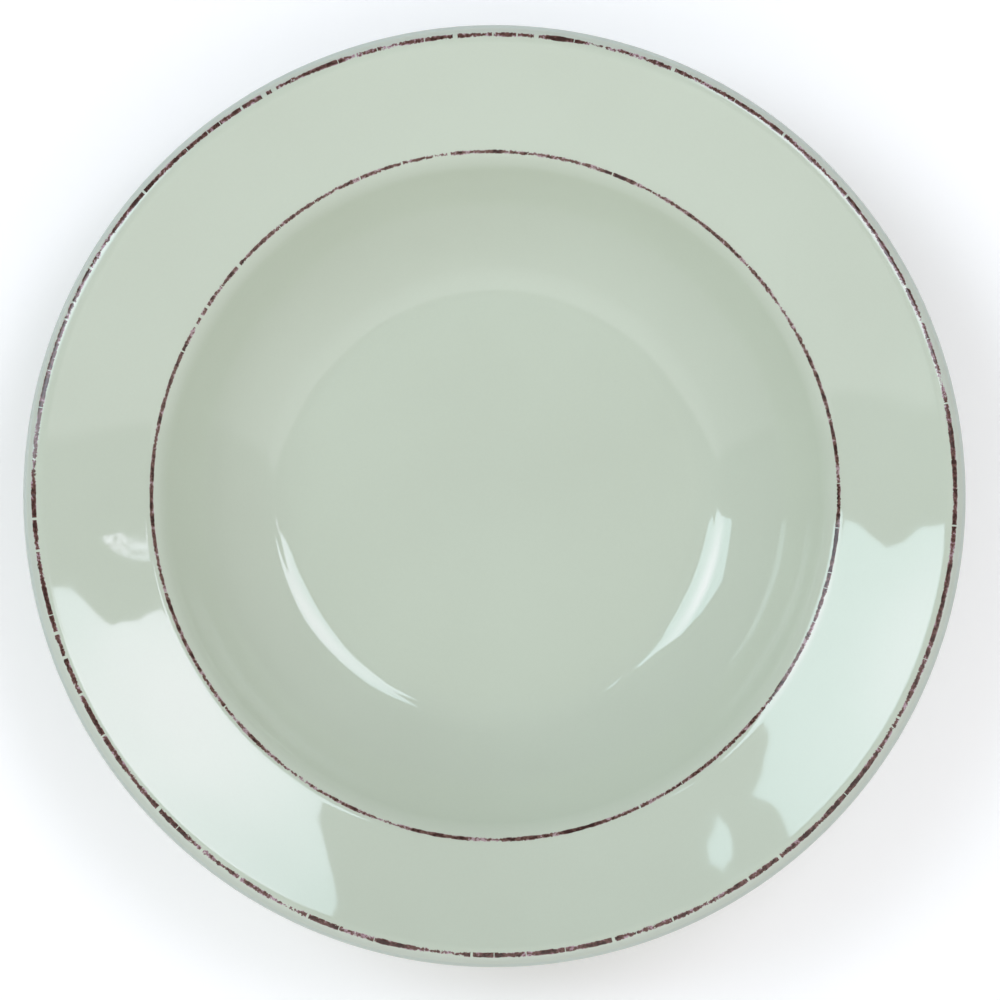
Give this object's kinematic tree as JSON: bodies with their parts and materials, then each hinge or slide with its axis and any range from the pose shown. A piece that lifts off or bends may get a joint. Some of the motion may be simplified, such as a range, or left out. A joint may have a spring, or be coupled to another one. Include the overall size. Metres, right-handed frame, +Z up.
{
  "type": "rimmed soup bowl",
  "caption": "Round, wide-rimmed shallow soup or pasta bowl in glossy sage melamine, with a heavy rolled lip and fine worn brown lines on the lip and at the mouth of the well.",
  "frame": {"origin": "centre of the bowl on the plane that its foot ring stands on", "axes": "+Z up along the bowl's axis; the bowl is round, so X and Y are free, and +Y is the side that the picture shows at the top"},
  "size_m": [0.23, 0.23, 0.042],
  "materials": {
    "moulded_melamine": "satin",
    "sage_foil": "satin",
    "clear_glaze": "polished",
    "rim_ink": "satin",
    "well_ink": "satin"
  },
  "bodies": {
    "root": {"body": "moulded_melamine", "decor_foil": "sage_foil", "clear_glaze": "clear_glaze", "rim_line": "rim_ink", "well_line": "well_ink"}
  },
  "joints": []
}
